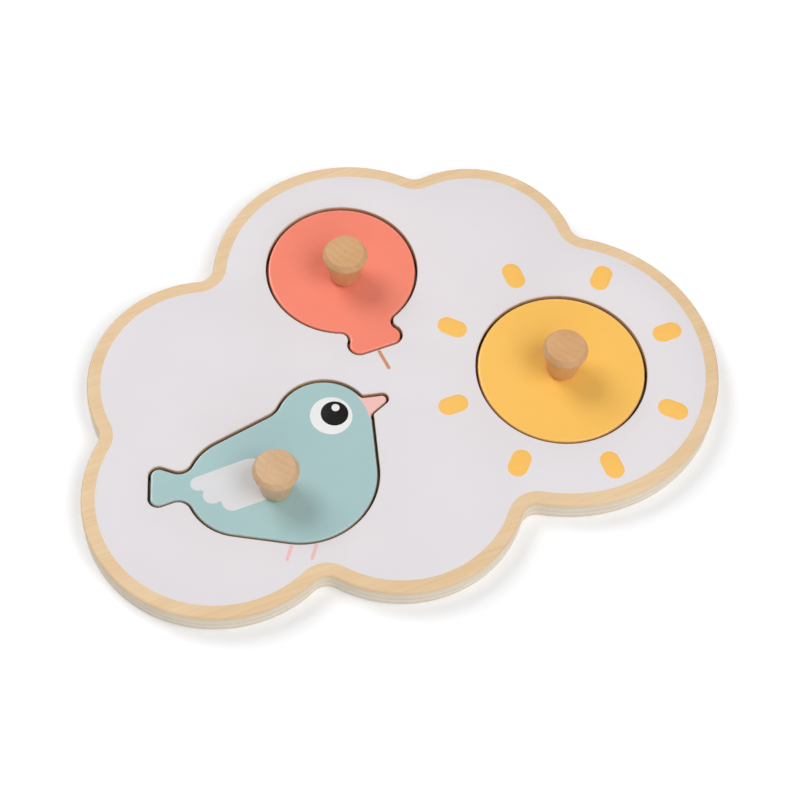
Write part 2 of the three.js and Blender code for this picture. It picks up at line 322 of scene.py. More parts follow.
TRAY_OUTLINE = grown(belt(chained(LOBES, HOLLOW_RADIUS, closed=True)), -TRAY_INSET)
SUN_OUTLINE = circle(SUN_PLACE, SUN_RADIUS)
BALLOON_OUTLINE = balloon_outline()
BIRD_OUTLINE = bird_outline()
PIECE_OUTLINES = [SUN_OUTLINE, BALLOON_OUTLINE, BIRD_OUTLINE]
POCKETS = [grown(outline, POCKET_CLEARANCE) for outline in PIECE_OUTLINES]


# Meshes

class Mould:
    """A mesh under way: rings of corners joined by bands and closed by flat faces.

    A finish is a material, or a function that gives one for a place on the face."""

    def __init__(self, name):
        self.name = name
        self.shape = bmesh.new()
        self.finishes = []

    def add_face(self, corners, finish):
        face = self.shape.faces.new(corners)
        if not isinstance(finish, bpy.types.Material):
            middle = face.calc_center_median() / MM
            finish = finish(middle.x, middle.y)
        if finish not in self.finishes:
            self.finishes.append(finish)
        face.material_index = self.finishes.index(finish)

    def add_wall(self, outline, rings, hole=False):
        """Rings of one outline, from the lowest up, each with its inset, level and the finish below it.

        Gives the lowest and the highest ring. The wall of a hole faces inwards."""
        loops = []
        for inset, level, finish in rings:
            points = outline(inset if hole else -inset)
            loops.append([self.shape.verts.new((x * MM, y * MM, level * MM)) for x, y in points])
            if len(loops) == 1:
                continue
            lower, upper = loops[-2:]
            for i in range(len(upper)):
                a, b = (i - 1, i) if not hole else (i, i - 1)
                self.add_face((lower[a], lower[b], upper[b], upper[a]), finish)
        return loops[0], loops[-1]

    def add_flat(self, loops, finish, faces_up, line=()):
        """Fills the first loop, less the loops inside it. No face crosses the line, a row of points."""
        level = loops[0][0].co.z
        corners = [corner for loop in loops for corner in loop]
        places = [Vector((corner.co.x, corner.co.y)) / MM for corner in corners]
        edges = []
        first = 0
        for loop in loops:
            edges += [(first + i, first + (i + 1) % len(loop)) for i in range(len(loop))]
            first += len(loop)
        rims = np.array([[places[a], places[b]] for a, b in edges])
        edges += [(first + i, first + i + 1) for i in range(len(line) - 1)]
        places += [Vector(point) for point in line]
        spots, _, faces, sources, _, _ = delaunay_2d_cdt(places, edges, [], 1, JOINED_WITHIN / 100)

        made = {}

        def corner_at(spot):
            source = min(sources[spot])
            if source < len(corners):
                return corners[source]
            if spot not in made:
                made[spot] = self.shape.verts.new((*(spots[spot] * MM), level))
            return made[spot]

        for face in faces:
            a, b, c = (spots[spot] for spot in face)
            if not crosses_odd(rims, (a + b + c) / 3):
                continue
            turns_left = (b - a).cross(c - a) > 0
            order = face if turns_left == faces_up else face[::-1]
            self.add_face([corner_at(spot) for spot in order], finish)

    def piece(self):
        """The finished object."""
        mesh = bpy.data.meshes.new(self.name)
        self.shape.to_mesh(mesh)
        self.shape.free()
        for finish in self.finishes:
            mesh.materials.append(finish)
        return placed(self.name, mesh)


def crosses_odd(rims, place):
    """True if a level line from the place to the right crosses an odd number of the rims."""
    x0, y0, x1, y1 = rims[:, 0, 0], rims[:, 0, 1], rims[:, 1, 0], rims[:, 1, 1]
    spans = (y0 > place.y) != (y1 > place.y)
    rise = np.where(spans, y1 - y0, 1)
    meets = x0 + (place.y - y0) / rise * (x1 - x0)
    return np.count_nonzero(spans & (meets > place.x)) % 2 == 1


def placed(name, mesh):
    """An object of that mesh, shaded smooth over its rounded edges."""
    mesh.shade_smooth()
    mesh.set_sharp_from_angle(angle=math.radians(SHARP_ANGLE))
    piece = bpy.data.objects.new(name, mesh)
    bpy.context.scene.collection.objects.link(piece)
    return piece


def rounded_top(radius, level, wall_finish, edge_finish):
    """Rings from the top of a wall over its rounded edge to the flat."""
    rings = [(0, level - radius - EDGE_SUPPORT, wall_finish), (0, level - radius, wall_finish)]
    for k in range(1, EDGE_STEPS + 1):
        turn = math.pi / 2 * k / EDGE_STEPS
        inset = radius * (1 - math.cos(turn))
        rings.append((inset, level - radius * (1 - math.sin(turn)), edge_finish))
    rings.append((radius + EDGE_SUPPORT, level, edge_finish))
    return rings


def belongs(piece, body, slot, *nodes):
    """Sets the body that a piece rides on and hides the nodes it stands for. The slot is not used."""
    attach(piece, body)
    if nodes:
        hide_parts(*nodes)


# Nodes

class Nodes:
    """A tree of nodes under way, and short ways to add to it."""

    def __init__(self, tree):
        self.tree = tree

    def feed(self, socket, value):
        """Links a socket to another one, or sets it to a plain value."""
        if isinstance(value, bpy.types.NodeSocket):
            self.tree.links.new(value, socket)
        else:
            socket.default_value = value

    def add(self, kind, inputs, output=0, **settings):
        node = self.tree.nodes.new(kind)
        for key, value in settings.items():
            setattr(node, key, value)
        for key, value in inputs.items():
            self.feed(node.inputs[key], value)
        return node.outputs[output]

    def math(self, operation, *values):
        return self.add("ShaderNodeMath", dict(enumerate(values)), operation=operation)


# Finishes

# How far below its top a laser-cut edge starts to darken and is darkest, and the share of the dark
# colour: laser char, deepened with painted shade down in the groove
CHAR_AND_SHADE_START = 1.8
CHAR_AND_SHADE_FULL = 4.2
CHAR_AND_SHADE_SHARE = 0.9
# How far the plies wander up and down along an edge
PLY_WAVE = 0.3
# Where the heart of the tree lay beside a knob's axis, and the pitch of the lathe tool's marks
HEART_OFFSET = (34, 21)
TOOL_PITCH = 0.7
# Gloss of edges that hands have rubbed bright
RUBBED_COAT = 1.0
COAT_ROUGHNESS = 0.2


def srgb(red, green, blue):
    """A colour as it looks on a screen, from 0 to 255, in the shader's own terms."""
    def linear(value):
        value /= 255
        return value / 12.92 if value <= 0.04045 else ((value + 0.055) / 1.055) ** 2.4

    return linear(red), linear(green), linear(blue), 1


class Surface(Nodes):
    """A finish under way: its shader, and short ways to add the nodes that feed it."""

    MIX_FACTOR, MIX_A, MIX_B, MIX_RESULT = 0, 6, 7, 2

    def __init__(self, name, metallic=0.0, specular=0.5, coat=0.0):
        self.material = bpy.data.materials.new(name)
        self.material.use_nodes = True
        super().__init__(self.material.node_tree)
        self.shader = self.tree.nodes["Principled BSDF"]
        self.give("Metallic", metallic)
        self.give("Specular IOR Level", specular)
        self.give("Coat Weight", coat)
        self.give("Coat Roughness", COAT_ROUGHNESS)
        self.spot = self.tree.nodes.new("ShaderNodeTexCoord").outputs["Object"]

    def give(self, socket, value):
        """Feeds one of the shader's own sockets."""
        self.feed(self.shader.inputs[socket], value)

    def noise(self, per_metre, detail, shift=(0, 0, 0)):
        """A noise that changes so many times in a metre along X, Y and Z."""
        inputs = {"Vector": self.spot, "Scale": per_metre, "Location": shift}
        spot = self.add("ShaderNodeMapping", inputs)
        return self.add("ShaderNodeTexNoise", {"Vector": spot, "Scale": 1.0, "Detail": detail})

    def spread(self, value, low, high, to_low=0.0, to_high=1.0):
        """The value, with what lies between low and high spread from to_low to to_high."""
        inputs = {0: value, 1: low, 2: high, 3: to_low, 4: to_high}
        return self.add("ShaderNodeMapRange", inputs, clamp=True)

    def blend(self, *parts):
        """The sum of values, each times its share."""
        total, *others = [self.math("MULTIPLY", value, share) for value, share in parts]
        for part in others:
            total = self.math("ADD", total, part)
        return total

    def mix(self, factor, first, second):
        """A colour between the first, at a factor of 0, and the second, at 1."""
        inputs = {self.MIX_FACTOR: factor, self.MIX_A: first, self.MIX_B: second}
        return self.add("ShaderNodeMix", inputs, self.MIX_RESULT, data_type="RGBA")

    def coordinate(self, axis):
        return self.add("ShaderNodeSeparateXYZ", {0: self.spot}, axis)

    def relief(self, height, depth):
        """Small relief of so many millimetres from a value that goes from 0 to 1."""
        inputs = {"Strength": 1.0, "Distance": depth * MM, "Height": height}
        self.give("Normal", self.add("ShaderNodeBump", inputs))


def birch_veneer(name, light, dark):
    """Sanded face veneer with long fine grain along X, cloudy figure and short pores."""
    wood = Surface(name)
    fibre = wood.noise((20, 850, 850), detail=4)
    streak = wood.noise((6, 120, 120), detail=3)
    cloud = wood.noise((14, 30, 30), detail=2, shift=(3, 5, 0))
    pore = wood.noise((110, 2600, 2600), detail=1)
    grain = wood.blend((fibre, 0.4), (streak, 0.35), (cloud, 0.25))
    plain = wood.mix(wood.spread(grain, 0.36, 0.62), dark, light)
    wood.give("Base Color", wood.mix(wood.spread(pore, 0.66, 0.8, to_high=0.35), plain, dark))
    wood.give("Roughness", wood.spread(fibre, 0.3, 0.7, to_low=0.56, to_high=0.44))
    wood.relief(fibre, depth=0.006)
    return wood.material


def ply_edge(name, bottom, top, plies, light, dark, glue, char_and_shade_colour=None):
    """The cut edge of plywood: plies that run along and across by turns, with thin glue lines.

    An edge with a char colour was cut by a laser and darkens from its top down: partly char, partly
    painted shade deep in the groove."""
    edge = Surface(name)
    lifted = edge.math("MULTIPLY", edge.noise((70, 70, 400), detail=3), PLY_WAVE * MM)
    speckle = edge.noise((900, 900, 1500), detail=3)
    cloud = edge.noise((40, 40, 90), detail=2, shift=(1, 2, 3))
    level = edge.math("ADD", edge.coordinate("Z"), lifted)
    ply = (top - bottom) / plies * MM
    count = edge.math("DIVIDE", edge.math("SUBTRACT", level, (bottom + PLY_WAVE / 2) * MM), ply)
    by_turns = edge.math("PINGPONG", edge.math("SUBTRACT", count, 0.5), 1.0)
    across = edge.math("GREATER_THAN", by_turns, 0.5)
    fleck = edge.spread(speckle, 0.35, 0.65, to_high=0.4)
    tint = edge.spread(cloud, 0.35, 0.65, to_low=-0.15, to_high=0.15)
    plain = edge.mix(edge.blend((across, 0.55), (fleck, 0.6), (tint, 1.0)), light, dark)
    from_middle = edge.math("ABSOLUTE", edge.math("SUBTRACT", edge.math("FRACT", count), 0.5))
    colour = edge.mix(edge.spread(from_middle, 0.43, 0.48, to_high=0.7), plain, glue)
    # Below the top the edge darkens: laser char, and painted shade deep in the narrow groove.
    if char_and_shade_colour:
        char_and_shade_darkest, char_and_shade_first = (top - CHAR_AND_SHADE_FULL) * MM, (top - CHAR_AND_SHADE_START) * MM
        char_and_shade_mask = edge.spread(level, char_and_shade_darkest, char_and_shade_first, to_low=CHAR_AND_SHADE_SHARE, to_high=0.0)
        colour = edge.mix(char_and_shade_mask, colour, char_and_shade_colour)
    edge.give("Base Color", colour)
    edge.give("Roughness", 0.62)
    edge.relief(speckle, depth=0.03)
    return edge.material


def satin_paint(name, colour, deep, specular=0.12, coat=0.0):
    """A rolled-on paint film: faint mottling, fine peel, and a trace of the grain as relief."""
    paint = Surface(name, specular=specular, coat=coat)
    cloud = paint.noise((26, 26, 26), detail=3)
    fibre = paint.noise((18, 620, 620), detail=3)
    peel = paint.noise((1500, 1500, 1500), detail=2)
    mottle = paint.blend((cloud, 0.7), (fibre, 0.3))
    paint.give("Base Color", paint.mix(paint.spread(mottle, 0.34, 0.62), deep, colour))
    paint.give("Roughness", paint.spread(peel, 0.3, 0.7, to_low=0.43, to_high=0.53))
    paint.relief(paint.blend((fibre, 0.4), (peel, 0.6)), depth=0.004)
    return paint.material


def rubbed_paint(name, colour, deep):
    """A paint for the faces of a piece, and the same paint rubbed bright for its rounded edges."""
    face = satin_paint(name, colour, deep)
    return face, satin_paint(name + "_edge", colour, deep, coat=RUBBED_COAT)


def turned_beech(name, axis, light, dark):
    """Beech turned along its grain: faint growth rings about a far heart, flecks and tool marks."""
    beech = Surface(name)
    about_heart = beech.add("ShaderNodeMapping", {
        "Vector": beech.spot,
        "Location": (-(axis[0] + HEART_OFFSET[0]) * MM, -(axis[1] + HEART_OFFSET[1]) * MM, 0),
        "Scale": (1, 1, 0.05),
    })
    rings = beech.add("ShaderNodeTexWave", {
        "Vector": about_heart, "Scale": 95.0, "Distortion": 1.6, "Detail": 2.0, "Detail Scale": 2.0,
    }, "Fac", wave_type="RINGS", rings_direction="Z")
    fibre = beech.noise((1300, 1300, 45), detail=3)
    fleck = beech.noise((2100, 900, 380), detail=1)
    cloud = beech.noise((90, 90, 30), detail=2)
    grain = beech.blend((rings, 0.1), (fibre, 0.45), (cloud, 0.45))
    plain = beech.mix(beech.spread(grain, 0.36, 0.66), dark, light)
    beech.give("Base Color", beech.mix(beech.spread(fleck, 0.64, 0.74, to_high=0.45), plain, dark))
    beech.give("Roughness", beech.spread(fibre, 0.3, 0.7, to_low=0.44, to_high=0.32))
    tool_turn = beech.math("MULTIPLY", beech.coordinate("Z"), 2 * math.pi / (TOOL_PITCH * MM))
    tool_mark = beech.math("SINE", tool_turn)
    beech.relief(beech.blend((fibre, 1.0), (tool_mark, 0.12)), depth=0.012)
    return beech.material


def plated_steel(name, light, dark):
    """Zinc-plated steel, with a cloudy plating."""
    steel = Surface(name, metallic=1.0)
    cloud = steel.noise((500, 500, 500), detail=3)
    steel.give("Base Color", steel.mix(steel.spread(cloud, 0.35, 0.65), dark, light))
    steel.give("Roughness", steel.spread(cloud, 0.3, 0.7, to_low=0.28, to_high=0.42))
    return steel.material


RIM_BIRCH = birch_veneer("rim_birch", srgb(232, 204, 164), srgb(222, 188, 144))
FACE_BIRCH = birch_veneer("face_birch", srgb(236, 214, 176), srgb(222, 194, 152))
PLY_TONES = srgb(238, 227, 210), srgb(221, 207, 186), srgb(168, 144, 116)
# The last cut tone is a dark char brown, laid on more heavily towards the bottom as painted shade of the
# grooves.
CUT_TONES = srgb(226, 192, 154), srgb(194, 160, 124), srgb(118, 90, 66), srgb(92, 62, 40)
FRAME_EDGE = ply_edge("frame_edge", FRAME_BOTTOM, FRAME_TOP, FRAME_PLIES, *PLY_TONES)
BACKING_EDGE = ply_edge("backing_edge", BACKING_BOTTOM, BACKING_TOP, BACKING_PLIES, *PLY_TONES)
POCKET_EDGE = ply_edge("pocket_edge", FRAME_BOTTOM, FRAME_TOP, FRAME_PLIES, *CUT_TONES)
PIECE_EDGE = ply_edge("piece_edge", PIECE_BOTTOM, PIECE_TOP, PIECE_PLIES, *CUT_TONES)
WHITE_PRINT = satin_paint("white_print", srgb(231, 226, 229), srgb(229, 224, 227))
CORAL_PAINT, CORAL_EDGE = rubbed_paint("coral_paint", srgb(248, 140, 117), srgb(246, 135, 112))
YELLOW_PAINT, YELLOW_EDGE = rubbed_paint("yellow_paint", srgb(251, 196, 98), srgb(249, 192, 92))
BLUE_PAINT, BLUE_EDGE = rubbed_paint("blue_paint", srgb(171, 201, 202), srgb(167, 197, 198))
RAY_PRINT = satin_paint("ray_print", srgb(252, 197, 102), srgb(250, 193, 96))
PINK_PRINT, PINK_EDGE = rubbed_paint("pink_print", srgb(244, 196, 190), srgb(241, 190, 184))
STRING_PRINT = satin_paint("string_print", srgb(214, 150, 110), srgb(205, 140, 100))
WING_PRINT = satin_paint("wing_print", srgb(224, 224, 226), srgb(220, 220, 223))
EYE_WHITE_PRINT = satin_paint("eye_white_print", srgb(240, 240, 240), srgb(236, 236, 236))
EYE_BLACK_PRINT = satin_paint("eye_black_print", srgb(28, 26, 26), srgb(20, 18, 18), specular=0.1)
STEEL = plated_steel("plated_steel", srgb(206, 207, 210), srgb(176, 178, 182))


# Trees of geometry nodes

class Recipe(Nodes):
    """A tree of geometry nodes under way, with named inputs."""

    def __init__(self, name):
        super().__init__(bpy.data.node_groups.new(name, "GeometryNodeTree"))
        self.tree.interface.new_socket("Geometry", in_out="OUTPUT", socket_type="NodeSocketGeometry")
        self.inputs = {}
        self.source = self.tree.nodes.new("NodeGroupInput")

    def input(self, name, kind):
        kind = "NodeSocket" + kind
        socket = self.tree.interface.new_socket(name, in_out="INPUT", socket_type=kind)
        self.inputs[name] = socket.identifier
        return self.source.outputs[name]

    def finish(self, geometry):
        """Ends the tree with real geometry in the finish that it is given."""
        coat = self.input("Finish", "Material")
        real = self.add("GeometryNodeRealizeInstances", {"Geometry": geometry})
        coated = self.add("GeometryNodeSetMaterial", {"Geometry": real, "Material": coat})
        end = self.tree.nodes.new("NodeGroupOutput")
        self.feed(end.inputs["Geometry"], coated)

    def made(self, name, values, start=None):
        """The plain mesh that the tree makes from those values and, where it takes one, a start mesh."""
        host = bpy.data.objects.new(name + "_host", start or bpy.data.meshes.new(name + "_host"))
        bpy.context.scene.collection.objects.link(host)
        modifier = host.modifiers.new(self.tree.name, "NODES")
        modifier.node_group = self.tree
        for socket, value in values.items():
            modifier[self.inputs[socket]] = value
        bpy.context.view_layer.update()
        graph = bpy.context.evaluated_depsgraph_get()
        mesh = bpy.data.meshes.new_from_object(host.evaluated_get(graph), depsgraph=graph)
        mesh.name = name
        bpy.data.objects.remove(host)
        return mesh


def turned_knob_tree():
    """A knob turned about Z: a foot that widens in a cove, a band and a bevel to a flat top."""
    tree = Recipe("turned_knob")
    height = tree.input("Height", "Float")
    base = tree.input("Base Radius", "Float")
    foot_bevel = tree.input("Foot Bevel", "Float")
    cove_depth = tree.input("Cove Depth", "Float")
    head = tree.input("Head Radius", "Float")
    band_height = tree.input("Band Height", "Float")
    bevel_height = tree.input("Bevel Height", "Float")
    top = tree.input("Top Radius", "Float")
    arris = tree.input("Arris Radius", "Float")
    sides = tree.input("Sides", "Int")
    rings = tree.input("Rings", "Int")
    place = tree.input("Place", "Vector")

    def spread(value, low, high, to_low, to_high, smooth=False):
        inputs = {0: value, 1: low, 2: high, 3: to_low, 4: to_high}
        curve = "SMOOTHSTEP" if smooth else "LINEAR"
        return tree.add("ShaderNodeMapRange", inputs, interpolation_type=curve, clamp=True)

    spot = tree.add("GeometryNodeInputPosition", {})
    level = tree.add("ShaderNodeSeparateXYZ", {0: spot}, "Z")

    # The rings lie closer together towards both ends.
    line = tree.add("GeometryNodeCurvePrimitiveLine", {"Start": (0, 0, 0), "End": (0, 0, 1)})
    axis = tree.add("GeometryNodeResampleCurve", {"Curve": line, "Count": rings})
    ring_level = spread(level, 0.0, 1.0, 0.0, height, smooth=True)
    raised = tree.add("ShaderNodeCombineXYZ", {"Z": ring_level})
    axis = tree.add("GeometryNodeSetPosition", {"Geometry": axis, "Position": raised})

    bevel_foot = tree.math("SUBTRACT", height, bevel_height)
    band_foot = tree.math("SUBTRACT", bevel_foot, band_height)
    stem = spread(level, foot_bevel, band_foot, base, head)
    bow = tree.math("SINE", spread(level, foot_bevel, band_foot, 0.0, math.pi))
    stem = tree.math("SUBTRACT", stem, tree.math("MULTIPLY", cove_depth, bow))
    foot = tree.math("ADD", tree.math("SUBTRACT", base, foot_bevel), level)
    bevel = spread(level, bevel_foot, height, head, top)
    # Beyond its foot the bevel's line runs on outwards, so that the two lines meet in a soft arris.
    below = tree.math("MAXIMUM", tree.math("SUBTRACT", bevel_foot, level), 0.0)
    bevel = tree.math("ADD", bevel, below)
    radius = tree.math("SMOOTH_MIN", tree.math("MINIMUM", stem, foot), bevel, arris)
    turn = spread(level, tree.math("SUBTRACT", height, arris), height, 0.0, 1.0)
    upright = tree.math("SQRT", tree.math("SUBTRACT", 1.0, tree.math("MULTIPLY", turn, turn)))
    drawn_in = tree.math("MULTIPLY", arris, tree.math("SUBTRACT", 1.0, upright))
    radius = tree.math("SUBTRACT", radius, drawn_in)

    section = tree.add("GeometryNodeCurvePrimitiveCircle", {"Resolution": sides, "Radius": 1.0})
    turned = tree.add("GeometryNodeCurveToMesh", {
        "Curve": axis, "Profile Curve": section, "Scale": radius, "Fill Caps": True,
    })
    tree.finish(tree.add("GeometryNodeTransform", {"Geometry": turned, "Translation": place}))
    return tree


def ray_ring_tree():
    """Copies of one ray, evenly round a centre and each pointing away from it."""
    tree = Recipe("ray_ring")
    ray = tree.input("Ray", "Geometry")
    count = tree.input("Rays", "Int")
    radius = tree.input("Ring Radius", "Float")
    centre = tree.input("Centre", "Vector")
    ring = tree.add("GeometryNodeMeshCircle", {"Vertices": count, "Radius": radius})
    step = tree.math("DIVIDE", 2 * math.pi, count)
    turn = tree.math("MULTIPLY", tree.add("GeometryNodeInputIndex", {}), step)
    turned = tree.add("ShaderNodeCombineXYZ", {"Z": turn})
    copies = tree.add("GeometryNodeInstanceOnPoints", {
        "Points": ring, "Instance": ray, "Rotation": turned,
    })
    tree.finish(tree.add("GeometryNodeTransform", {"Geometry": copies, "Translation": centre}))
    return tree


# Tray

def make_backing_board():
    board = Mould("backing_ply")
    low, high = board.add_wall(TRAY_OUTLINE, [
        (UNDERSIDE_BEVEL, BACKING_BOTTOM, None),
        (0, BACKING_BOTTOM + UNDERSIDE_BEVEL, BACKING_EDGE),
        (0, BACKING_TOP - JOINT_BEVEL, BACKING_EDGE),
        (JOINT_BEVEL, BACKING_TOP, BACKING_EDGE),
    ])
    board.add_flat([high], FACE_BIRCH, faces_up=True)
    board.add_flat([low], FACE_BIRCH, faces_up=False)
    belongs(board.piece(), "board", "birch_ply", "backing_board")


def make_frame_board():
    board = Mould("frame_ply")
    walls = [board.add_wall(TRAY_OUTLINE, [
        (JOINT_BEVEL, FRAME_BOTTOM, None),
        (0, FRAME_BOTTOM + JOINT_BEVEL, FRAME_EDGE),
        *rounded_top(TRAY_EDGE_RADIUS, FRAME_TOP, FRAME_EDGE, RIM_BIRCH),
    ])]
    for pocket in POCKETS:
        walls.append(board.add_wall(pocket, [
            (0, FRAME_BOTTOM, None),
            *rounded_top(POCKET_EDGE_RADIUS, FRAME_TOP, POCKET_EDGE, WHITE_PRINT),
        ], hole=True))
    board.add_flat([high for _, high in walls], RIM_BIRCH, faces_up=True)
    board.add_flat([low for low, _ in walls], FACE_BIRCH, faces_up=False)
    belongs(board.piece(), "board", "printed_board", "frame_board")


def film(name, outline, base, finish, holes=()):
    """A printed film that lies on a level surface."""
    print_film = Mould(name)
    rings = [
        (0, base - FILM_SINK, None),
        (0, base + FILM_HEIGHT - PRINT_EDGE / 2, finish),
        (PRINT_EDGE, base + FILM_HEIGHT, finish),
    ]
    walls = [print_film.add_wall(outline, rings)]
    walls += [print_film.add_wall(hole, rings, hole=True) for hole in holes]
    print_film.add_flat([high for _, high in walls], finish, faces_up=True)
    print_film.add_flat([low for low, _ in walls], finish, faces_up=False)
    return print_film.piece()


def make_tray_print():
    pocket_edges = [grown(pocket, POCKET_EDGE_RADIUS) for pocket in POCKETS]
    inside_rim = grown(TRAY_OUTLINE, -RIM_WIDTH)
    ground = film("white_ground", inside_rim, FRAME_TOP, WHITE_PRINT, pocket_edges)
    belongs(ground, "board", "printed_board")
    on_ground = FRAME_TOP + FILM_HEIGHT

    half = (RAY_LENGTH - RAY_WIDTH) / 2
    ray = film("one_ray", stroke((-half, 0), (half, 0), RAY_WIDTH), on_ground, RAY_PRINT)
    rays = ray_ring_tree().made("sun_rays", {
        "Rays": RAY_COUNT,
        "Ring Radius": RAY_RING_RADIUS * MM,
        "Centre": (SUN_PLACE[0] * MM, SUN_PLACE[1] * MM, 0),
        "Finish": RAY_PRINT,
    }, ray.data)
    bpy.data.objects.remove(ray)
    belongs(placed("sun_rays", rays), "board", "printed_board")

    knot_edge = BALLOON_OUTLINE(POCKET_CLEARANCE + POCKET_EDGE_RADIUS)
    string_top = min(y for _, y in knot_edge) - STRING_WIDTH / 2
    string_end = string_top - STRING_LENGTH + STRING_WIDTH
    string_foot = (STRING_PLACE + STRING_SLANT, string_end)
    string = stroke((STRING_PLACE, string_top), string_foot, STRING_WIDTH)
    belongs(film("balloon_string", string, on_ground, STRING_PRINT), "board", "printed_board")

    for number, angle in enumerate(LEG_ANGLES, start=1):
        hip = polar(BREAST, BREAST.r + POCKET_CLEARANCE + POCKET_EDGE_RADIUS + LEG_WIDTH / 2, angle)
        foot = polar(hip, LEG_LENGTH - LEG_WIDTH, LEG_SLANT)
        leg = film(f"bird_leg_{number}", stroke(hip, foot, LEG_WIDTH), on_ground, PINK_PRINT)
        belongs(leg, "board", "printed_board")


# Pieces

def make_piece(name, outline, knob_axis, paint, edge_paint, line=()):
    """A painted piece of plywood, with a countersunk way from below for the knob's screw."""
    piece = Mould(name)
    outer = piece.add_wall(outline, [
        (PIECE_UNDERSIDE_BEVEL, PIECE_BOTTOM, None),
        (0, PIECE_BOTTOM + PIECE_UNDERSIDE_BEVEL, PIECE_EDGE),
        *rounded_top(PIECE_EDGE_RADIUS, PIECE_TOP, PIECE_EDGE, edge_paint),
    ])
    sink = SCREW_SINK_RADIUS - SCREW_BORE_RADIUS
    way = piece.add_wall(circle(knob_axis, SCREW_BORE_RADIUS), [
        (sink, PIECE_BOTTOM, None),
        (sink, PIECE_BOTTOM + SCREW_SINK_DEPTH, PIECE_EDGE),
        (0, PIECE_BOTTOM + SCREW_SINK_DEPTH + sink, PIECE_EDGE),
        (0, PIECE_TOP, PIECE_EDGE),
    ], hole=True)
    piece.add_flat([outer[1], way[1]], paint, faces_up=True, line=line)
    piece.add_flat([outer[0], way[0]], FACE_BIRCH, faces_up=False)
    return piece.piece()


def make_balloon():
    axis = upright_axis("balloon_knob")
    balloon = make_piece("painted_balloon", BALLOON_OUTLINE, axis, CORAL_PAINT, CORAL_EDGE)
    belongs(balloon, "balloon", "coral_paint", "balloon_piece")


def make_sun():
    sun = make_piece("painted_sun", SUN_OUTLINE, SUN_PLACE, YELLOW_PAINT, YELLOW_EDGE)
    belongs(sun, "sun", "yellow_paint", "sun_piece")


def make_bird():
    root_radius = HEAD_RADIUS - PIECE_EDGE_RADIUS - EDGE_SUPPORT
    steps = arc_steps(root_radius, math.radians(2 * BEAK_SPREAD))
    beak_root = [
        polar(HEAD, root_radius, BEAK_ANGLE + BEAK_SPREAD * (2 * k / steps - 1))
        for k in range(steps + 1)
    ]
    nearest_root = root_radius * math.cos(math.radians(BEAK_SPREAD / steps))

    def two_paints(body, beak):
        """The beak's paint on the beak, and the body's elsewhere."""
        def paint(x, y):
            angle = math.degrees(math.atan2(y - HEAD.y, x - HEAD.x))
            beside_beak = abs(angle - BEAK_ANGLE) > BEAK_SPREAD
            behind_beak = math.hypot(x - HEAD.x, y - HEAD.y) < nearest_root
            return body if beside_beak or behind_beak else beak

        return paint

    face, edge = two_paints(BLUE_PAINT, PINK_PRINT), two_paints(BLUE_EDGE, PINK_EDGE)
    axis = upright_axis("bird_knob")
    bird = make_piece("painted_bird", BIRD_OUTLINE, axis, face, edge, beak_root)
    belongs(bird, "bird", "blue_paint", "bird_piece")

    wing_outline = belt([WING_SHOULDER, *chained(WING_FEATHERS, WING_HOLLOW, closed=False)])
    belongs(film("bird_wing", wing_outline, PIECE_TOP, WING_PRINT), "bird", "blue_paint")

    eye = (HEAD.x + EYE_OFFSET[0], HEAD.y + EYE_OFFSET[1])
    pupil = (eye[0] + EYE_PUPIL_OFFSET[0], eye[1] + EYE_PUPIL_OFFSET[1])
    glint = polar(pupil, EYE_GLINT_REACH, EYE_GLINT_ANGLE)
    discs = [
        ("bird_eye_white", eye, EYE_WHITE_RADIUS, EYE_WHITE_PRINT),
        ("bird_eye_pupil", pupil, EYE_PUPIL_RADIUS, EYE_BLACK_PRINT),
        ("bird_eye_glint", glint, EYE_GLINT_RADIUS, EYE_WHITE_PRINT),
    ]
    for layer, (name, centre, radius, finish) in enumerate(discs):
        disc = film(name, circle(centre, radius), PIECE_TOP + layer * FILM_HEIGHT, finish)
        belongs(disc, "bird", "blue_paint")


def bore_for_screw(knob, depth):
    """Bores the way for the screw into the middle of a knob's foot."""
    foot = min(knob.faces, key=lambda face: face.calc_center_median().z)
    rim = KNOB_BASE_RADIUS - KNOB_FOOT_BEVEL - KNOB_BORE_RADIUS
    bmesh.ops.inset_individual(knob, faces=[foot], thickness=rim * MM)
    bmesh.ops.inset_individual(knob, faces=[foot], thickness=0, depth=-depth * MM)


def mark_top(knob):
    """Presses the small mark of the lathe's centre into a knob's flat top."""
    top = max(knob.faces, key=lambda face: face.calc_center_median().z)
    rim = KNOB_TOP_RADIUS - KNOB_ARRIS_RADIUS - KNOB_MARK_RADIUS
    bmesh.ops.inset_individual(knob, faces=[top], thickness=rim * MM)
    pit = bmesh.ops.poke(knob, faces=[top])
    for corner in pit["verts"]:
        corner.co.z -= KNOB_MARK_DEPTH * MM


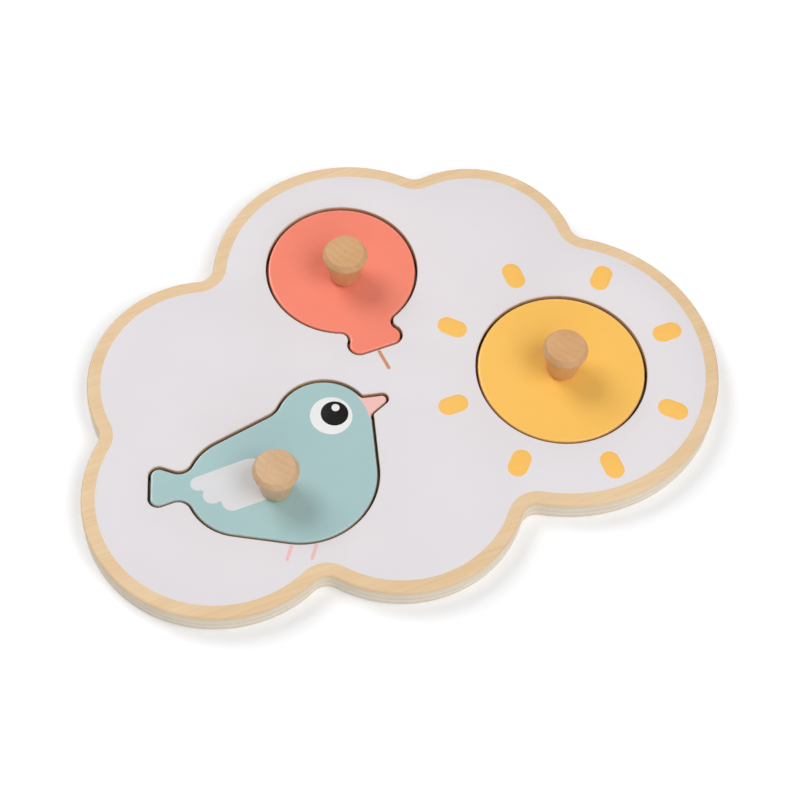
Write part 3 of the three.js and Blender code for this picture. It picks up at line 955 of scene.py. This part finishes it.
def make_knobs():
    tree = turned_knob_tree()
    tones = {
        "balloon": (srgb(214, 169, 120), srgb(203, 154, 104)),
        "sun": (srgb(215, 169, 120), srgb(204, 154, 104)),
        "bird": (srgb(216, 181, 142), srgb(205, 166, 124)),
    }
    for body, (light, dark) in tones.items():
        node = body + "_knob"
        bottom, top = heights(node)
        axis = upright_axis(node)
        mesh = tree.made(body + "_turned_knob", {
            "Height": (top - bottom) * MM,
            "Base Radius": KNOB_BASE_RADIUS * MM,
            "Foot Bevel": KNOB_FOOT_BEVEL * MM,
            "Cove Depth": KNOB_COVE_DEPTH * MM,
            "Head Radius": KNOB_HEAD_RADIUS * MM,
            "Band Height": KNOB_BAND_HEIGHT * MM,
            "Bevel Height": KNOB_BEVEL_HEIGHT * MM,
            "Top Radius": KNOB_TOP_RADIUS * MM,
            "Arris Radius": KNOB_ARRIS_RADIUS * MM,
            "Sides": KNOB_SIDES,
            "Rings": KNOB_RINGS,
            "Place": (axis[0] * MM, axis[1] * MM, bottom * MM),
            "Finish": turned_beech(body + "_beech", axis, light, dark),
        })
        knob = bmesh.new()
        knob.from_mesh(mesh)
        screw_tip = heights(body + "_screw")[1]
        bore_for_screw(knob, screw_tip + KNOB_BORE_ROOM - bottom)
        if body == "balloon":
            mark_top(knob)
        knob.to_mesh(mesh)
        knob.free()
        belongs(placed(body + "_turned_knob", mesh), body, "beech", node)


def finish_screws():
    for body in ("balloon", "sun", "bird"):
        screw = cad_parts[body + "_screw"]
        screw.data.materials.clear()
        screw.data.materials.append(STEEL)


# Studio

FLOOR_SIZE = 9.0
FLOOR_DROP = 0.05 * MM
FLOOR_SHOWN = (1.06, 1.07, 1.09, 1)
FLOOR_BOUNCE = (0.85, 0.85, 0.85, 1)
FLOOR_WHITE_FROM = 0.35
FLOOR_WHITE_TO = 1.2
WHITE = (1, 1, 1, 1)
AMBIENT_SHARE = 0.26
CAMERA_PLACE = Vector((-199.38, -424.53, 787.5)) * MM
CAMERA_HEADING = 26.48
CAMERA_ELEVATION = 59.83
CAMERA_ROLL = 4.65
CAMERA_LENS = 90
CAMERA_SENSOR = 36


def seen(nodes):
    """1 where the camera sees a surface, itself or in a mirror or through glass, otherwise 0."""
    path = nodes.tree.nodes.new("ShaderNodeLightPath").outputs
    either = path["Is Camera Ray"]
    for way in ("Is Glossy Ray", "Is Transmission Ray"):
        either = nodes.math("MAXIMUM", either, path[way])
    return either


def make_floor():
    mesh = bpy.data.meshes.new("studio_floor")
    half = FLOOR_SIZE / 2
    corners = [(x * half, y * half, -FLOOR_DROP) for x, y in ((-1, -1), (1, -1), (1, 1), (-1, 1))]
    mesh.from_pydata(corners, [], [(0, 1, 2, 3)])
    floor = bpy.data.objects.new("studio_floor", mesh)
    bpy.context.scene.collection.objects.link(floor)
    paper = Surface("studio_paper", specular=0.0)
    in_view = seen(paper)
    away = paper.add("ShaderNodeVectorMath", {0: paper.spot}, "Value", operation="LENGTH")
    shine = paper.math("MULTIPLY", paper.spread(away, FLOOR_WHITE_FROM, FLOOR_WHITE_TO), in_view)
    paper.give("Base Color", paper.mix(in_view, FLOOR_BOUNCE, FLOOR_SHOWN))
    paper.give("Roughness", 0.9)
    paper.give("Emission Color", WHITE)
    paper.give("Emission Strength", shine)
    mesh.materials.append(paper.material)


def make_world():
    world = bpy.data.worlds.new("studio_air")
    world.use_nodes = True
    nodes = Nodes(world.node_tree)
    background = nodes.tree.nodes["Background"].inputs
    strength = nodes.add("ShaderNodeMapRange", {"Value": seen(nodes), "To Min": AMBIENT_SHARE})
    nodes.feed(background["Color"], WHITE)
    nodes.feed(background["Strength"], strength)
    bpy.context.scene.world = world


def make_softbox(name, heading, elevation, distance, size, power):
    """A square lamp that looks at the tray from so many degrees anticlockwise of +X."""
    lamp = bpy.data.lights.new(name, "AREA")
    lamp.shape = "SQUARE"
    lamp.size = size
    lamp.energy = power
    softbox = bpy.data.objects.new(name, lamp)
    bpy.context.scene.collection.objects.link(softbox)
    level = distance * math.cos(math.radians(elevation))
    place = Vector((*polar((0, 0), level, heading), distance * math.sin(math.radians(elevation))))
    softbox.location = place
    softbox.rotation_euler = (-place).to_track_quat("-Z", "Y").to_euler()


def make_camera():
    heading, elevation, roll = (
        math.radians(angle) for angle in (CAMERA_HEADING, CAMERA_ELEVATION, CAMERA_ROLL)
    )
    forward = Vector((
        math.cos(elevation) * math.sin(heading),
        math.cos(elevation) * math.cos(heading),
        -math.sin(elevation),
    ))
    level_right = Vector((math.cos(heading), -math.sin(heading), 0))
    level_up = level_right.cross(forward)
    right = math.cos(roll) * level_right + math.sin(roll) * level_up
    up = math.cos(roll) * level_up - math.sin(roll) * level_right
    data = bpy.data.cameras.new("photo_camera")
    data.lens = CAMERA_LENS
    data.sensor_width = CAMERA_SENSOR
    camera = bpy.data.objects.new("photo_camera", data)
    bpy.context.scene.collection.objects.link(camera)
    turned = Matrix((right, up, -forward)).transposed()
    camera.matrix_world = Matrix.Translation(CAMERA_PLACE) @ turned.to_4x4()
    bpy.context.scene.camera = camera


make_backing_board()
make_frame_board()
make_tray_print()
make_balloon()
make_sun()
make_bird()
make_knobs()
finish_screws()

make_floor()
make_world()
make_softbox("back_left_softbox", heading=117, elevation=44, distance=2.2, size=1.25, power=25)
make_softbox("front_right_softbox", heading=-50, elevation=57, distance=2.2, size=1.25, power=17)
make_softbox("front_softbox", heading=-88, elevation=29, distance=2.2, size=2.2, power=16)
make_camera()
bpy.context.scene.view_settings.view_transform = "Standard"
